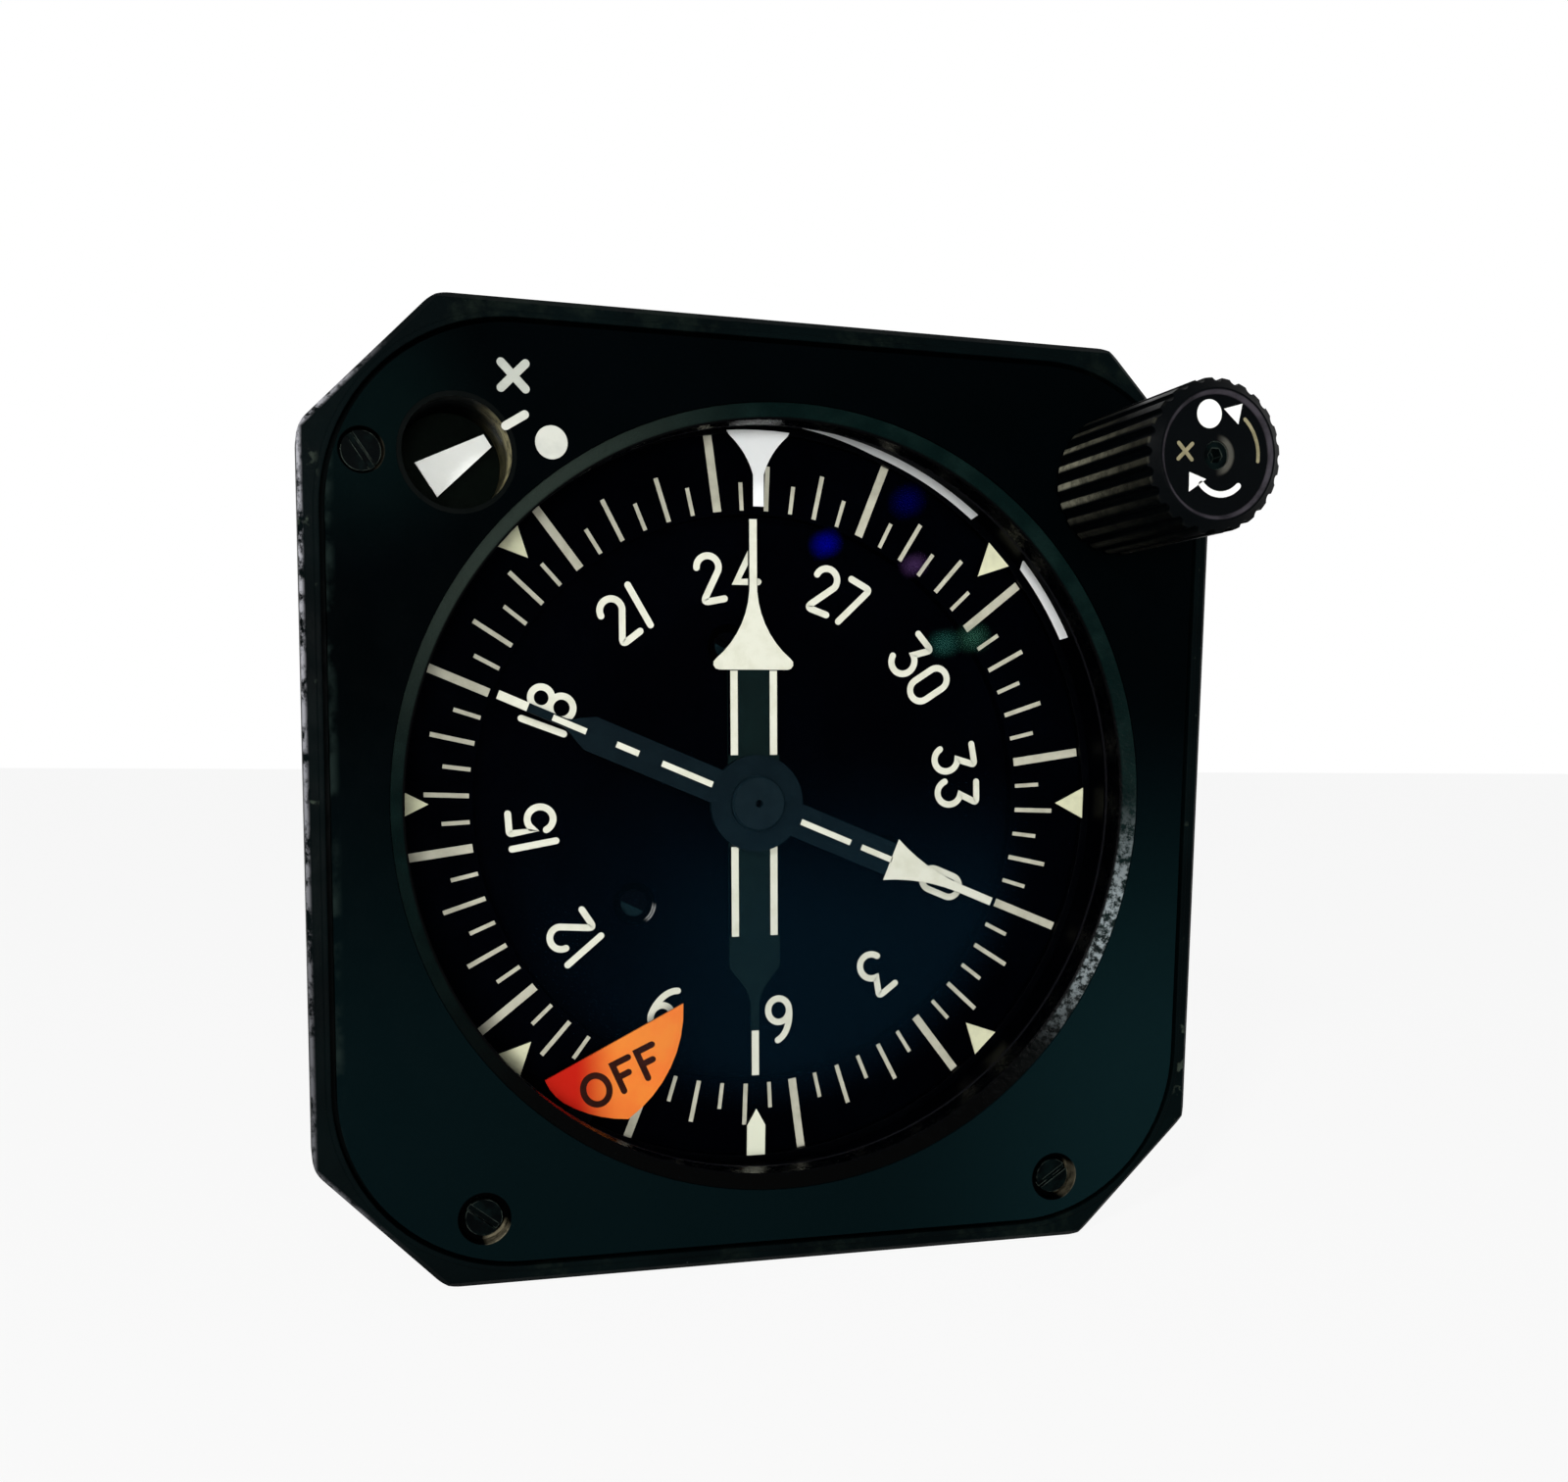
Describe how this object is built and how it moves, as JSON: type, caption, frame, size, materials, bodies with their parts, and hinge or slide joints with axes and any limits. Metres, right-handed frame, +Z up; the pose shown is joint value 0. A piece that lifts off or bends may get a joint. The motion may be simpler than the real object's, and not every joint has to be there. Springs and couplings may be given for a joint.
{
  "type": "compass indicator",
  "caption": "Square panel compass indicator with a turning card, wide and narrow bearing pointers, OFF flag, annunciator and fluted knob in a boxed case",
  "frame": {"origin": "middle of the flange's rear face, which seats on the panel; the dial is centred on it", "axes": "the face looks along -Y, +Y runs back through the case, +X is right seen from the front, +Z is up"},
  "size_m": [0.0826, 0.1237, 0.0826],
  "materials": {
    "casting_paint": "satin",
    "plate_paint": "matt",
    "case_paint": "satin",
    "bezel_paint": "semi-gloss",
    "dark_steel": "blackened",
    "bright_steel": "satin",
    "clear_glass": "polished",
    "rubber": "matt",
    "ring_paint": "matt",
    "white_paint": "matt",
    "sleeve_metal": "dull",
    "movement_paint": "matt",
    "card_paint": "matt",
    "brass": "satin",
    "bronze": "satin",
    "pointer_grey": "matt",
    "cap_grey": "satin",
    "flag_orange": "fluorescent matt",
    "knob_black": "satin",
    "aluminium": "satin",
    "can_paint": "satin",
    "board_green": "satin",
    "shell_plate": "plated",
    "insert_black": "satin",
    "gold_plate": "gilt"
  },
  "bodies": {
    "case": {"front_casting": "casting_paint", "face_plate": "plate_paint", "face_plate_screws": "dark_steel", "bezel_ring": "bezel_paint", "cover_glass": "clear_glass", "glass_gasket": "rubber", "well_ring": "ring_paint", "index_ring": "ring_paint", "index_marks": "white_paint", "annunciator_sleeve": "sleeve_metal", "annunciator_glass": "clear_glass", "annunciator_movement": "movement_paint", "card_bearing": "bronze", "flag_movement": "can_paint", "knob_bush": "bronze", "sync_transmitter": "can_paint", "card_motor": "can_paint", "wide_synchro": "can_paint", "narrow_synchro": "can_paint", "front_plate": "aluminium", "middle_plate": "aluminium", "rear_plate": "aluminium", "plate_posts": "bright_steel", "amplifier_board": "board_green", "case_shell": "case_paint", "case_screws": "dark_steel", "rear_cover": "case_paint", "rear_cover_screws": "bright_steel", "connector_shells": "shell_plate", "connector_inserts": "insert_black", "connector_pins": "gold_plate"},
    "card": {"compass_card": "card_paint", "card_screws": "dark_steel", "card_shaft": "aluminium", "card_gear": "brass"},
    "wide_needle": {"wide_pointer": "white_paint", "wide_shaft": "bright_steel", "wide_gear": "brass"},
    "narrow_needle": {"narrow_pointer": "pointer_grey", "pointer_cap": "cap_grey", "narrow_shaft": "bright_steel"},
    "flag": {"off_flag": "flag_orange", "flag_arm": "dark_steel"},
    "annunciator": {"annunciator_needle": "white_paint"},
    "knob": {"sync_knob": "knob_black", "knob_screw": "dark_steel", "knob_shaft": "bright_steel", "knob_gear": "brass"},
    "motor_rotor": {"motor_pinion": "bright_steel"},
    "wide_rotor": {"synchro_rotor": "brass"},
    "sync_rotor_body": {"sync_rotor": "brass"}
  },
  "joints": [
    {"name": "card_turn", "type": "hinge", "parent": "case", "child": "card", "pos_m": [0, 0, 0], "axis": [0, 1, 0], "continuous": true},
    {"name": "wide_pointer_turn", "type": "hinge", "parent": "case", "child": "wide_needle", "pos_m": [0, 0, 0], "axis": [0, 1, 0], "continuous": true},
    {"name": "narrow_pointer_turn", "type": "hinge", "parent": "case", "child": "narrow_needle", "pos_m": [0, 0, 0], "axis": [0, 1, 0], "continuous": true},
    {"name": "flag_swing", "type": "hinge", "parent": "case", "child": "flag", "pos_m": [-0.0192, 0, -0.0316], "axis": [0, 1, 0], "range_deg": [-105, 0]},
    {"name": "annunciator_swing", "type": "hinge", "parent": "case", "child": "annunciator", "pos_m": [-0.02867, 0, 0.02867], "axis": [0, 1, 0], "range_deg": [-20, 20]},
    {"name": "knob_turn", "type": "hinge", "parent": "case", "child": "knob", "pos_m": [0.03087, 0, 0.02913], "axis": [0, 1, 0], "continuous": true},
    {"name": "motor_turn", "type": "hinge", "parent": "case", "child": "motor_rotor", "pos_m": [0.02019, 0, -0.02019], "axis": [0, 1, 0], "continuous": true},
    {"name": "wide_rotor_turn", "type": "hinge", "parent": "case", "child": "wide_rotor", "pos_m": [-0.01701, 0, 0.01701], "axis": [0, 1, 0], "continuous": true},
    {"name": "sync_rotor_turn", "type": "hinge", "parent": "case", "child": "sync_rotor_body", "pos_m": [0.02247, 0, 0.0212], "axis": [0, 1, 0], "continuous": true}
  ],
  "couplings": [
    {"joint": "motor_turn", "follows": "card_turn", "ratio": -5.3333},
    {"joint": "wide_rotor_turn", "follows": "wide_pointer_turn", "ratio": -1},
    {"joint": "sync_rotor_turn", "follows": "knob_turn", "ratio": -0.53333}
  ]
}
